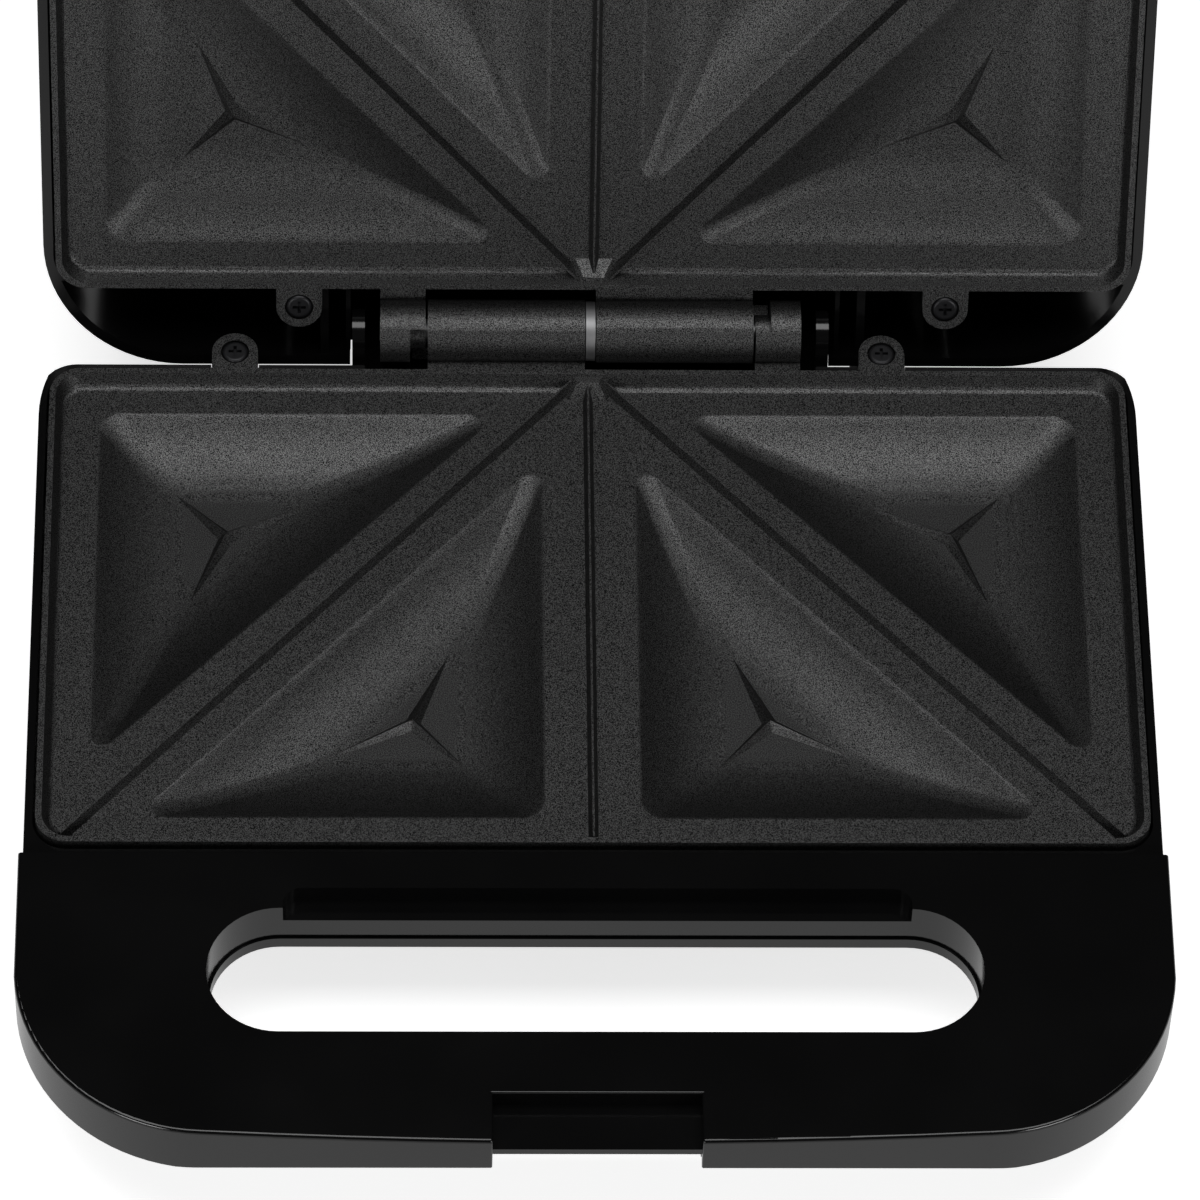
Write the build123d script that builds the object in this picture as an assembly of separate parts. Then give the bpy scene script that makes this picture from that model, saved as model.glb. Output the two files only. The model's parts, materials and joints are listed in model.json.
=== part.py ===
from build123d import *
import os
from math import atan2, cos, degrees, hypot, radians, sin, sqrt, tan

# A sandwich maker, modelled open as it stands on a table. Lengths are in millimetres.
# Every piece is first drawn about the hinge axis: X to the right, Y to the back, Z up,
# with the cooking side facing up and the plate in front of the axis, at negative Y.
# The lid's pieces are drawn the same way and then turned over and opened about the axis.

# Lid movement
opening_angle = 113.0
lid_side_shift = 1.2
closing_gap = 0.2

# How far joined bodies of one piece sink into each other
melt = 0.5
overlap = 0.1

# How close two places count as one
same_point = 0.001
edge_slack = 0.01

# Cooking plates
plate_width = 230.0
plate_depth = 121.0
plate_to_axis = 10.2
plate_corner = 6.5
plate_wall = 2.5
rim_top_width = 1.3
rim_foot_width = 2.6
land_drop = 3.5
skirt_depth = 9.0
pocket_depth = 6.5
pocket_side_margin = 10.8
pocket_rear_margin = 9.8
pocket_front_margin = 8.4
pocket_centre_margin = 10.0
pocket_slope_run = 18.5
pocket_slope_steps = 6
pocket_edge_round = 1.5
rear_pocket_gap_start = 6.1
rear_pocket_gap_end = 9.5
front_pocket_gap_start = 8.6
front_pocket_gap_end = 7.7
square_corner_round = 5.0
acute_corner_round = 2.5
floor_corner_round = 2.5

# Raised lines and stars on the plates
ridge_height = 2.2
ridge_foot = 2.1
ridge_crest = 0.45
ridge_end_overlap = 0.3
diagonal_start_x = 3.3
diagonal_start_margin = 1.7
diagonal_end_margin = 5.2
diagonal_front_margin = 2.9
ridge_fan_foot_half = 6.5
ridge_fan_foot_front_half = 4.0
ridge_fan_foot_length = 3.2
ridge_fan_top_half = 3.4
ridge_fan_top_front_half = 2.2
ridge_fan_top_length = 0.1
ridge_fan_height = 2.8
star_height = 2.0
star_waist = 2.2
star_arm_square = 21.5
star_arm_centre = 27.0
star_arm_outer = 25.0
rear_star_from_side = 38.0
rear_star_from_rear = 37.5
front_star_from_centre = 37.4
front_star_from_front = 35.7

# Hinge
barrel_radius = 6.75
pin_radius = 2.5
pin_clearance = 0.05
pin_end_inset = 0.5
long_knuckle_near = 0.6
long_knuckle_far = 34.3
short_knuckle_near = 36.0
short_knuckle_far = 45.7
washer_radius = 6.4
washer_side_gap = 0.2
web_top = 2.6
web_thickness = 3.4
notch_width = 3.3
notch_core_radius = 3.7
notch_start_angle = 58.0
stop_tooth_angle = 25.0
stop_slack_angle = 1.0
tooth_side_gap = 0.4
tooth_radial_gap = 0.3
cheek_gap = 2.1
cheek_thickness = 2.7
cheek_radius = 4.6

# Lugs that hold the plates to the housings
left_lug_x = 75.6
right_lug_x = 63.1
lug_width = 9.8
lug_from_axis = 5.7
lug_thickness = 3.0
tongue_x = 60.0
tongue_width = 12.0
tongue_reach = 2.0
tongue_thickness = 2.4

# Screws
screw_radius = 1.5
screw_fit = 0.05
screw_head_radius = 2.8
screw_head_height = 1.8
screw_dome_share = 0.45
screw_head_proud = 0.2
screw_length = 9.0
reflector_screw_length = 7.2
screw_recess_gap = 0.25
screw_slot_width = 0.7
screw_slot_depth = 1.1

# Base housing
housing_gap = 0.6
base_wall = 1.7
base_lip_drop = 2.0
base_depth = 35.0
base_rear = 9.0
base_rear_round = 30.0
base_lip_round = 8.0
joint_corner_round = 0.5
base_lip_width = 1.8
slope_top_drop = 4.0
slope_foot_drop = 25.5
hinge_block_top = 8.5
hinge_block_rear = 6.5
hinge_block_foot = 27.0
web_passage_drop = 7.0
pillar_radius = 4.0
pillar_from_side = 3.0
pillar_from_end = 11.0
boss_rear_limit = 3.2
boss_radius = 4.0
boss_foot = 18.0

# Lid housing
lid_side_gap = 0.5
lid_wall = 2.2
lid_lip_drop = 2.5
lid_depth = 32.0
lid_rear = 9.9
lid_rear_round = 29.5
lid_top_round = 6.0
lid_notch_gap = 0.5
lid_notch_drop = 13.0
partition_thickness = 1.2
partition_gap = 0.5
inner_rib_from_cheek = 1.5
inner_rib_thickness = 1.0
outer_rib_from_cheek = 6.6
outer_rib_thickness = 1.8
rib_drop = 3.5

# Handles
handle_joint = 2.8
handle_side_step = 0.9
handle_length = 69.2
handle_corner_start_from_front = 39.5
handle_corner_mid_from_side = 10.5
handle_corner_mid_from_front = 15.1
handle_corner_end_from_side = 38.4
handle_corner_end_from_front = 2.2
handle_height = 14.0
handle_arch = 4.2
handle_arch_end_from_side = 33.2
handle_arch_reach = 5.2
arch_cut_room = 5.0
handle_skin = 2.5
handle_wall = 2.2
handle_edge_round = 0.8
cover_wall_height = 10.7
tray_gap = 0.2
tray_side_gap = 0.3
lid_handle_drop = 1.5
slot_end_from_side = 39.0
slot_from_housing = 13.4
slot_width = 29.6
slot_wall = 2.0
tray_slot_step = 0.5
rebate_left_from_slot_end = 15.4
rebate_right_from_slot_end = 14.2
rebate_width = 4.9
rebate_depth = 4.7
rebate_floor = 2.2
rebate_round = 4.0
rebate_open_round = 0.5
handle_screw_from_side = 21.2
handle_screw_from_housing = 22.0
handle_pillar_radius = 3.5

# Latch
latch_seat_half = 21.1
latch_seat_length = 11.7
latch_seat_wall = 2.4
ledge_drop = 4.6
ledge_thickness = 1.8
ledge_front_gap = 1.2
hook_room_depth = 5.0
latch_side_gap = 0.4
latch_open_angle = 35.0
latch_pivot_drop = 9.0
latch_pivot_from_front = 4.9
latch_pin_radius = 1.5
pin_bevel = 0.4
latch_barrel_radius = 3.4
latch_plate_thickness = 2.6
latch_web_half = 1.5
latch_edge_round = 1.0
latch_front_gap = 0.5
hook_gap = 0.4
hook_reach = 3.6
hook_thickness = 2.2
latch_pin_grip = 3.6

# Heaters and reflectors
heater_radius = 3.25
heater_gap = 0.15
heater_from_rear = 33.8
heater_from_front = 29.2
heater_bend_from_side = 55.0
heater_end_from_side = 21.0
bead_length = 3.0
bead_radius = 2.6
heater_pin_radius = 1.2
heater_pin_length = 6.0
strap_width = 5.0
strap_thickness = 1.2
strap_foot = 27.0
post_radius = 3.5
post_from_rear = 19.8
post_from_front = 13.2
post_side_share = 0.602
pad_before_middle = 2.3
pad_radius = 5.5
reflector_thickness = 0.8
reflector_from_side = 17.0
reflector_from_rear = 6.8
reflector_from_front = 6.2
reflector_flange = 1.8
reflector_round = 6.0

# Thermostat, wiring and cord inlet
thermostat_radius = 7.0
thermostat_height = 8.0
thermostat_hole_gap = 0.5
tab_length = 4.5
tab_width = 4.8
tab_thickness = 0.8
lead_radius = 1.0
lead_plane = 25.6
lead_bend = 12.0
lead_end_gap = 0.05
block_x = 62.0
block_width = 22.0
block_length = 14.0
block_front = 30.0
block_height = 8.5
block_pole_x = 5.0
fuse_radius = 2.4
fuse_length = 18.0
fuse_from_block = 8.0
gland_drop = 29.9
gland_bore = 2.6
gland_neck = 3.0
gland_flange = 4.0
gland_flange_thickness = 1.6
gland_boot_length = 14.0
gland_boot_root = 3.9
gland_boot_tip = 3.4
gland_gap = 0.1
anchor_thickness = 1.2
inlet_plate_half = 9.0
inlet_plate_gap = 0.2
inlet_lintel = 0.6

# Lamps in the lid
lamp_x = 14.0
lamp_from_front = 9.2
lens_radius = 3.4
lens_flange = 4.6
lens_flange_height = 0.9
lens_dome_share = 0.6
lens_depth = 3.2
lens_gap = 0.1
board_half_width = 23.0
board_length = 10.0
board_thickness = 1.2
board_plane = 25.0
bulb_radius = 1.6
bulb_gap = 0.3
board_post_radius = 2.2
board_post_x = 19.5

# Underside and feet
cover_thickness = 2.0
cover_gap = 0.2
foot_radius = 8.0
foot_height = 5.0
foot_bevel = 0.8
foot_peg_radius = 2.5
foot_peg_fit = 0.05
foot_side_margin = 25.0
front_foot_from_front = 19.2
rear_foot_from_rear = 1.8
rear_foot_side_margin = 35.0
vent_count = 7
vent_pitch = 9.0
vent_width = 3.0
vent_length = 34.0

# Places worked out from the sizes above
rim_top = -closing_gap / 2
land = -land_drop
floor = land - pocket_depth
plate_back = land - plate_wall
pocket_back = floor - plate_wall
skirt_foot = -skirt_depth
half_width = plate_width / 2
plate_rear_y = -plate_to_axis
plate_front_y = -(plate_to_axis + plate_depth)
room_half = half_width + housing_gap
room_rear_y = plate_rear_y + housing_gap
room_front_y = plate_front_y - housing_gap
base_half = room_half + base_wall
base_lip_rear = -room_rear_y - base_lip_width
lid_half_width = half_width + lid_side_gap + lid_wall
joint_y = plate_front_y - handle_joint
handle_half_width = base_half + handle_side_step
handle_front = handle_length - joint_y
handle_corner_start = handle_front - handle_corner_start_from_front
handle_corner_mid_x = handle_half_width - handle_corner_mid_from_side
handle_corner_mid_y = handle_front - handle_corner_mid_from_front
handle_corner_end_x = handle_half_width - handle_corner_end_from_side
handle_corner_end_y = handle_front - handle_corner_end_from_front
handle_arch_half = handle_half_width - handle_arch_end_from_side
slot_half_length = handle_half_width - slot_end_from_side
slot_rear = slot_from_housing - joint_y
slot_front = slot_rear + slot_width
rebate_left = slot_half_length - rebate_left_from_slot_end
rebate_right = slot_half_length - rebate_right_from_slot_end
rebate_rear = slot_rear - rebate_width
handle_screw_x = handle_half_width - handle_screw_from_side
handle_screw_y = joint_y - handle_screw_from_housing
latch_seat_rear = handle_front - latch_seat_length
latch_pivot_y = handle_front - latch_pivot_from_front
cheek_near = short_knuckle_far + lid_side_shift / 2 + cheek_gap
cheek_far = cheek_near + cheek_thickness
heater_rear_y = heater_from_rear - plate_rear_y
heater_front_y = -plate_front_y - heater_from_front
heater_bend_x = half_width - heater_bend_from_side
heater_end_x = half_width - heater_end_from_side
post_rear_y = post_from_rear - plate_rear_y
post_front_y = -plate_front_y - post_from_front
pad_y = -(plate_front_y + plate_rear_y) / 2 + pad_before_middle
reflector_half = half_width - reflector_from_side
reflector_rear = reflector_from_rear - plate_rear_y
reflector_front = -plate_front_y - reflector_from_front
lamp_y = -plate_front_y - lamp_from_front
front_foot_y = -plate_front_y - front_foot_from_front
rear_foot_y = rear_foot_from_rear - plate_rear_y
heater_axis = pocket_back - heater_gap - heater_radius
post_foot = heater_axis - heater_radius - heater_gap
reflector_back = post_foot - reflector_thickness
barrel_bore = pin_radius + pin_clearance
hinge_middle = lid_side_shift / 2
strap_x = heater_end_x + bead_length + heater_pin_length
lead_z = -lead_plane
pillar_x = room_half - pillar_from_side
pillar_rear_y = room_rear_y - pillar_from_end
pillar_front_y = room_front_y + pillar_from_end
cover_top = -base_depth + cover_thickness
inlet_top = -slope_foot_drop - inlet_lintel
bore_radius = screw_radius + screw_fit
far = 400.0


# Shape helpers
def block(x0, x1, y0, y1, z0, z1):
    return Pos(x0, y0, z0) * Box(x1 - x0, y1 - y0, z1 - z0, align=(Align.MIN, Align.MIN, Align.MIN))


def prism(face, z0, z1):
    return extrude(Pos(0, 0, z0) * face, amount=z1 - z0, dir=(0, 0, 1))


def side_prism(points, x0, x1):
    return extrude(Plane.YZ.offset(x0) * Polygon(*points, align=None), amount=x1 - x0, dir=(1, 0, 0))


def post(x, y, radius, z0, z1):
    return Pos(x, y, z0) * Cylinder(radius, z1 - z0, align=(Align.CENTER, Align.CENTER, Align.MIN))


def cross_rod(y, z, radius, x0, x1):
    rod = Cylinder(radius, x1 - x0, align=(Align.CENTER, Align.CENTER, Align.MIN))
    return Pos(x0, y, z) * Rot(0, 90, 0) * rod


def back_rod(x, z, radius, y0, y1):
    rod = Cylinder(radius, y1 - y0, align=(Align.CENTER, Align.CENTER, Align.MIN))
    return Pos(x, y1, z) * Rot(90, 0, 0) * rod


def rounded(points, radii):
    """A closed outline with each corner turned into an arc of its own radius."""
    count = len(points)
    arcs = []
    for i in range(count):
        corner = Vector(*points[i])
        back = (Vector(*points[i - 1]) - corner).normalized()
        ahead = (Vector(*points[(i + 1) % count]) - corner).normalized()
        half = radians(back.get_angle(ahead)) / 2
        cut = radii[i] / tan(half)
        middle = corner + (back + ahead).normalized() * (radii[i] / sin(half))
        crown = middle + (corner - middle).normalized() * radii[i]
        arcs.append((corner + back * cut, crown, corner + ahead * cut))
    edges = []
    for i in range(count):
        if (arcs[i][0] - arcs[i][2]).length > same_point:
            edges.append(ThreePointArc(*arcs[i]))
        following = arcs[(i + 1) % count][0]
        if (following - arcs[i][2]).length > same_point:
            edges.append(Line(arcs[i][2], following))
    return make_face(edges)


def inset(points, distance):
    """The outline's corners after each side has moved in; the points run anticlockwise."""
    count = len(points)
    moved = []
    for i in range(count):
        corner = Vector(*points[i])
        back = (corner - Vector(*points[i - 1])).normalized()
        ahead = (Vector(*points[(i + 1) % count]) - corner).normalized()
        back_side = Vector(-back.Y, back.X)
        ahead_side = Vector(-ahead.Y, ahead.X)
        bend = (back_side + ahead_side).normalized()
        step = bend * (distance / bend.dot(ahead_side))
        moved.append(((corner + step).X, (corner + step).Y))
    return moved


def solid_of(faces):
    return Solid(Shell(faces))


def pan_screw(length, head_radius=screw_head_radius):
    """A cross-head screw along Z with the underside of its head at the origin."""
    shank = post(0, 0, screw_radius, -length, 0)
    head = post(0, 0, head_radius, 0, screw_head_height)
    head = fillet(head.edges().sort_by(Axis.Z)[-1], screw_head_height * screw_dome_share)
    slots = Sketch() + Rectangle(screw_slot_width, head_radius) + Rectangle(head_radius, screw_slot_width)
    recess = prism(slots, screw_head_height - screw_slot_depth, screw_head_height + 1)
    return shank + head - recess


# Where the pockets, raised lines and stars lie on a plate
diagonal_start = Vector(-diagonal_start_x, plate_rear_y - diagonal_start_margin)
diagonal_end = Vector(-(half_width - diagonal_end_margin), plate_front_y + diagonal_front_margin)
diagonal_way = (diagonal_end - diagonal_start).normalized()
diagonal_length = (diagonal_end - diagonal_start).length
diagonal_side = Vector(diagonal_way.Y, -diagonal_way.X)


def crossing(p, way, q, turn):
    """The point where the line through p along way meets the line through q along turn."""
    det = way.X * turn.Y - way.Y * turn.X
    gap = q - p
    along = (gap.X * turn.Y - gap.Y * turn.X) / det
    return p + way * along


def gap_line(start_gap, end_gap, side):
    first = diagonal_start + diagonal_side * (side * start_gap)
    last = diagonal_end + diagonal_side * (side * end_gap)
    return first, (last - first).normalized()


def pocket_corners():
    """The left half's two pockets, as anticlockwise triangles on the land."""
    across = Vector(1, 0)
    along = Vector(0, 1)
    rear_side = Vector(-(half_width - pocket_side_margin), plate_rear_y - pocket_rear_margin)
    p, way = gap_line(rear_pocket_gap_start, rear_pocket_gap_end, 1 if diagonal_side.Y > 0 else -1)
    rear_inner = crossing(p, way, rear_side, across)
    rear_outer = crossing(p, way, rear_side, along)
    rear = [(rear_side.X, rear_side.Y), (rear_outer.X, rear_outer.Y), (rear_inner.X, rear_inner.Y)]
    front_side = Vector(-pocket_centre_margin, plate_front_y + pocket_front_margin)
    p, way = gap_line(front_pocket_gap_start, front_pocket_gap_end, -1 if diagonal_side.Y > 0 else 1)
    front_inner = crossing(p, way, front_side, along)
    front_outer = crossing(p, way, front_side, across)
    front = [(front_side.X, front_side.Y), (front_inner.X, front_inner.Y), (front_outer.X, front_outer.Y)]
    return rear, front


rear_pocket, front_pocket = pocket_corners()
rear_star = Vector(-(half_width - rear_star_from_side), plate_rear_y - rear_star_from_rear)
front_star = Vector(-front_star_from_centre, plate_front_y + front_star_from_front)


def pocket_loft(points, run_shift, top_drop, low_drop):
    """A dished triangle: its sides start steep and run out level at the floor."""
    radii = [square_corner_round, acute_corner_round, acute_corner_round]
    sections = []
    for i in range(-1, pocket_slope_steps + 1):
        part = i / pocket_slope_steps
        low_share = max(part, 0)
        drop = pocket_depth * (1 - (1 - part) ** 2) if i > 0 else 2 * pocket_depth * part
        drop += top_drop + (low_drop - top_drop) * low_share
        corner_radii = [r + (floor_corner_round - r) * low_share for r in radii]
        outline = rounded(inset(points, pocket_slope_run * part - run_shift), corner_radii)
        sections.append(Pos(0, 0, land - drop) * outline)
    return loft(sections, ruled=True)


def pocket_cavity(points):
    return pocket_loft(points, 0, 0, 0)


def pocket_bulge(points):
    """The metal round a pocket, seen from below."""
    bulge = pocket_loft(points, plate_wall, melt, plate_wall)
    return bulge & block(-far, far, -far, far, -far, land - melt)


def star(centre, corners):
    """A low three-armed pyramid on a pocket's floor; its arms point at the pocket's corners."""
    lengths = [star_arm_square, star_arm_outer, star_arm_centre]
    arms = []
    for corner, length in zip(corners, lengths):
        way = (Vector(*corner) - centre).normalized()
        arms.append((degrees(atan2(way.Y, way.X)) % 360, centre + way * length))
    arms.sort(key=lambda arm: arm[0])
    foot = floor - melt
    ring = []
    for i in range(len(arms)):
        angle, tip = arms[i]
        turn = (arms[(i + 1) % len(arms)][0] - angle) % 360
        between = radians(angle + turn / 2)
        waist = centre + Vector(cos(between), sin(between)) * star_waist
        ring.append(Vector(tip.X, tip.Y, foot))
        ring.append(Vector(waist.X, waist.Y, foot))
    peak = Vector(centre.X, centre.Y, floor + star_height)
    faces = [make_face(Polyline(*ring, close=True))]
    for i in range(len(ring)):
        faces.append(make_face(Polyline(ring[i], ring[(i + 1) % len(ring)], peak, close=True)))
    return solid_of(faces)


def ridge(start, end):
    """A raised line with sloped flanks from start to end on the land."""
    length = (end - start).length
    turn = degrees(atan2(end.Y - start.Y, end.X - start.X))
    foot = ridge_foot / 2
    crest = ridge_crest / 2
    section = [(-foot, -melt), (foot, -melt), (foot, 0), (crest, ridge_height), (-crest, ridge_height), (-foot, 0)]
    bar = side_prism(section, 0, length)
    return Pos(start.X, start.Y, land) * Rot(0, 0, turn) * bar


def ridge_fan():
    """The web that joins the three raised lines to the rear rim."""
    foot_y = plate_rear_y - rim_foot_width
    back_y = plate_rear_y - rim_top_width
    foot = Polygon((ridge_fan_foot_half, back_y), (-ridge_fan_foot_half, back_y),
                   (-ridge_fan_foot_front_half, foot_y - ridge_fan_foot_length),
                   (ridge_fan_foot_front_half, foot_y - ridge_fan_foot_length), align=None)
    top = Polygon((ridge_fan_top_half, back_y), (-ridge_fan_top_half, back_y),
                  (-ridge_fan_top_front_half, foot_y - ridge_fan_top_length),
                  (ridge_fan_top_front_half, foot_y - ridge_fan_top_length), align=None)
    return loft([Pos(0, 0, land) * foot, Pos(0, 0, land + ridge_fan_height) * top], ruled=True)


def plate_outline(shrink):
    x = half_width - shrink
    corners = [(-x, plate_front_y + shrink), (x, plate_front_y + shrink)]
    corners += [(x, plate_rear_y - shrink), (-x, plate_rear_y - shrink)]
    return rounded(corners, [plate_corner - shrink / 2] * 4)


def wedge(angle_from, angle_to, reach):
    """A fan about the hinge axis; angles start at the plate and turn toward the cooking side."""
    points = [(0, 0)]
    steps = 6
    for i in range(steps + 1):
        angle = radians(angle_from + (angle_to - angle_from) * i / steps)
        points.append((-reach * cos(angle), reach * sin(angle)))
    return points


def knuckles():
    """The two hinge barrels of a casting, with webs, a stop notch and a stop tooth."""
    web = [(plate_rear_y - 1, -web_top), (0, -web_top), (0, -web_top - web_thickness)]
    web.append((plate_rear_y - 1, -web_top - web_thickness))
    long = cross_rod(0, 0, barrel_radius, -long_knuckle_far, -long_knuckle_near)
    long += side_prism(web, -long_knuckle_far, -long_knuckle_near)
    short = cross_rod(0, 0, barrel_radius, short_knuckle_near, short_knuckle_far)
    short += side_prism(web, short_knuckle_near, short_knuckle_far)
    tooth_to = -notch_start_angle - stop_slack_angle
    tooth_from = tooth_to - stop_tooth_angle
    notch_end = opening_angle - tooth_from + stop_slack_angle
    reach = 2 * barrel_radius
    notch = side_prism(wedge(notch_start_angle, notch_end, reach),
                       short_knuckle_near - 1, short_knuckle_near + notch_width)
    notch -= cross_rod(0, 0, notch_core_radius, short_knuckle_near - 2, short_knuckle_far)
    between = short_knuckle_near - long_knuckle_far - lid_side_shift
    tooth_end = long_knuckle_far + between + notch_width - tooth_side_gap
    ring = cross_rod(0, 0, barrel_radius - tooth_radial_gap / 2, -tooth_end, -long_knuckle_far + 1)
    ring -= cross_rod(0, 0, notch_core_radius + tooth_radial_gap, -tooth_end - 1, -long_knuckle_far + 2)
    tooth = ring & side_prism(wedge(tooth_from, tooth_to, reach), -tooth_end - 1, -long_knuckle_far + 1)
    metal = long + tooth + (short - notch)
    return metal - cross_rod(0, 0, barrel_bore, -far, far)


def lug(x):
    centre_y = -lug_from_axis
    half = lug_width / 2
    body = post(x, centre_y, half, rim_top - lug_thickness, rim_top)
    body += block(x - half, x + half, plate_rear_y - 1, centre_y, rim_top - lug_thickness, rim_top)
    seat = screw_head_radius + screw_recess_gap
    body -= post(x, centre_y, seat, rim_top - screw_head_height + screw_head_proud, rim_top + 1)
    body -= post(x, centre_y, bore_radius, -far, far)
    return body


def post_places():
    side = diagonal_start + diagonal_way * (diagonal_length * post_side_share)
    return [(0, -post_rear_y), (0, -post_front_y), (side.X, side.Y), (-side.X, side.Y)]


def plate_casting():
    """One cast plate; the lid carries the same casting turned over."""
    outer = prism(plate_outline(0), skirt_foot, rim_top)
    lean = (rim_foot_width - rim_top_width) / (rim_top - land)
    recess = loft([
        Pos(0, 0, land) * plate_outline(rim_foot_width),
        Pos(0, 0, rim_top + 1) * plate_outline(rim_top_width - lean),
    ])
    casting = outer - recess - prism(plate_outline(rim_foot_width), skirt_foot - 1, plate_back)
    for corners in (rear_pocket, front_pocket):
        bulge = pocket_bulge(corners)
        casting += bulge
        casting += mirror(bulge, Plane.YZ)
    for corners in (rear_pocket, front_pocket):
        cavity = pocket_cavity(corners)
        casting -= cavity
        casting -= mirror(cavity, Plane.YZ)
    edges = casting.edges().filter_by_position(Axis.Z, land - edge_slack, land + edge_slack)
    inside = half_width - rim_foot_width - 1
    edges = edges.filter_by(lambda e: abs(e.center().X) < inside)
    edges = edges.filter_by(lambda e: plate_front_y + rim_foot_width + 1 < e.center().Y)
    edges = edges.filter_by(lambda e: e.center().Y < plate_rear_y - rim_foot_width - 1)
    casting = fillet(edges, pocket_edge_round)
    for centre, corners in ((rear_star, rear_pocket), (front_star, front_pocket)):
        peak = star(centre, corners)
        casting += peak
        casting += mirror(peak, Plane.YZ)
    lines = ridge(Vector(0, plate_rear_y - rim_foot_width + ridge_end_overlap),
                  Vector(0, plate_front_y + rim_foot_width - ridge_end_overlap))
    for side in (1, -1):
        start = Vector(side * diagonal_start.X, diagonal_start.Y)
        end = Vector(side * diagonal_end.X, diagonal_end.Y)
        lines += ridge(start, end)
    lines += ridge_fan()
    casting += lines
    casting += lug(-left_lug_x) + lug(right_lug_x)
    casting += knuckles()
    for x, y in post_places():
        casting += post(x, y, post_radius, post_foot, plate_back + melt)
        casting -= post(x, y, bore_radius, post_foot - 1, plate_back - 1)
    casting += post(0, -pad_y, pad_radius, post_foot, plate_back + melt)
    for side in (-1, 1):
        x = side * tongue_x
        casting += block(x - tongue_width / 2, x + tongue_width / 2, plate_front_y - tongue_reach,
                         plate_front_y + 1, skirt_foot, skirt_foot + tongue_thickness)
    return casting


# Heater, reflector and their screws, the same under both plates
def heater():
    path = Line((heater_end_x, -heater_rear_y), (-heater_bend_x, -heater_rear_y))
    bend = (heater_front_y - heater_rear_y) / 2
    path += ThreePointArc((-heater_bend_x, -heater_rear_y),
                          (-heater_bend_x - bend, -heater_rear_y - bend),
                          (-heater_bend_x, -heater_front_y))
    path += Line((-heater_bend_x, -heater_front_y), (heater_end_x, -heater_front_y))
    section = Plane((heater_end_x, -heater_rear_y, 0), z_dir=(-1, 0, 0)) * Circle(heater_radius)
    return Pos(0, 0, heater_axis) * sweep(section, path=path)


def heater_terminals():
    pieces = []
    for y in (-heater_rear_y, -heater_front_y):
        bead_end = heater_end_x + bead_length
        piece = cross_rod(y, heater_axis, bead_radius, heater_end_x, bead_end)
        piece += cross_rod(y, heater_axis, heater_pin_radius, bead_end, strap_x + strap_thickness)
        piece += block(strap_x, strap_x + strap_thickness, y - strap_width / 2, y + strap_width / 2,
                       -strap_foot, heater_axis + heater_pin_radius + 1)
        pieces.append(piece)
    return Compound(children=[piece.solids()[0] for piece in pieces])


def reflector(has_thermostat):
    def outline(shrink):
        x = reflector_half - shrink
        corners = [(-x, -reflector_front + shrink), (x, -reflector_front + shrink)]
        corners += [(x, -reflector_rear - shrink), (-x, -reflector_rear - shrink)]
        return rounded(corners, [reflector_round - shrink] * 4)

    tray = prism(outline(0), reflector_back, post_foot + reflector_flange)
    tray -= prism(outline(reflector_thickness), post_foot, post_foot + reflector_flange + 1)
    for x, y in post_places():
        tray -= post(x, y, bore_radius, reflector_back - 1, post_foot + 1)
    if has_thermostat:
        tray -= post(0, -pad_y, thermostat_radius + thermostat_hole_gap, reflector_back - 1, post_foot + 1)
    return tray


def reflector_screw(x, y):
    return Pos(x, y, reflector_back) * Rot(180, 0, 0) * pan_screw(reflector_screw_length)


# Handle pieces shared by the base and the lid
def handle_outline(shrink):
    """The handle's plan: straight sides, wide front corners and a slightly bowed front."""
    side_x = handle_half_width - shrink
    mid_lean = shrink / sqrt(2)
    left = [(-side_x, -handle_corner_start),
            (-handle_corner_mid_x + mid_lean, -handle_corner_mid_y + mid_lean),
            (-handle_corner_end_x, -handle_corner_end_y + shrink)]
    right = [(-x, y) for x, y in reversed(left)]
    edges = [
        Line((-side_x, joint_y), left[0]),
        ThreePointArc(*left),
        ThreePointArc(left[2], (0, -handle_front + shrink), right[0]),
        ThreePointArc(*right),
        Line(right[2], (side_x, joint_y)),
        Line((side_x, joint_y), (-side_x, joint_y)),
    ]
    return make_face(edges)


def slot_outline(grow):
    width = slot_front - slot_rear + 2 * grow
    length = 2 * (slot_half_length + grow)
    return Pos(0, -(slot_front + slot_rear) / 2) * SlotOverall(length, width)


def arch_cut(top):
    """What is taken from the handle's underside so that its lower edge arches at the front."""
    low = top - handle_height
    points = [(-handle_arch_half, low), (0, low + handle_arch), (handle_arch_half, low)]
    edges = [ThreePointArc(*points), Line(points[2], (handle_arch_half, low - arch_cut_room))]
    edges += [Line((handle_arch_half, low - arch_cut_room), (-handle_arch_half, low - arch_cut_room))]
    edges += [Line((-handle_arch_half, low - arch_cut_room), points[0])]
    arch = extrude(Plane.XZ * make_face(edges), amount=far, dir=(0, -1, 0))
    return arch & block(-far, far, -far, -handle_front + handle_arch_reach, -far, far)


def handle_screw_places():
    return [(-handle_screw_x, handle_screw_y), (handle_screw_x, handle_screw_y)]


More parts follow.
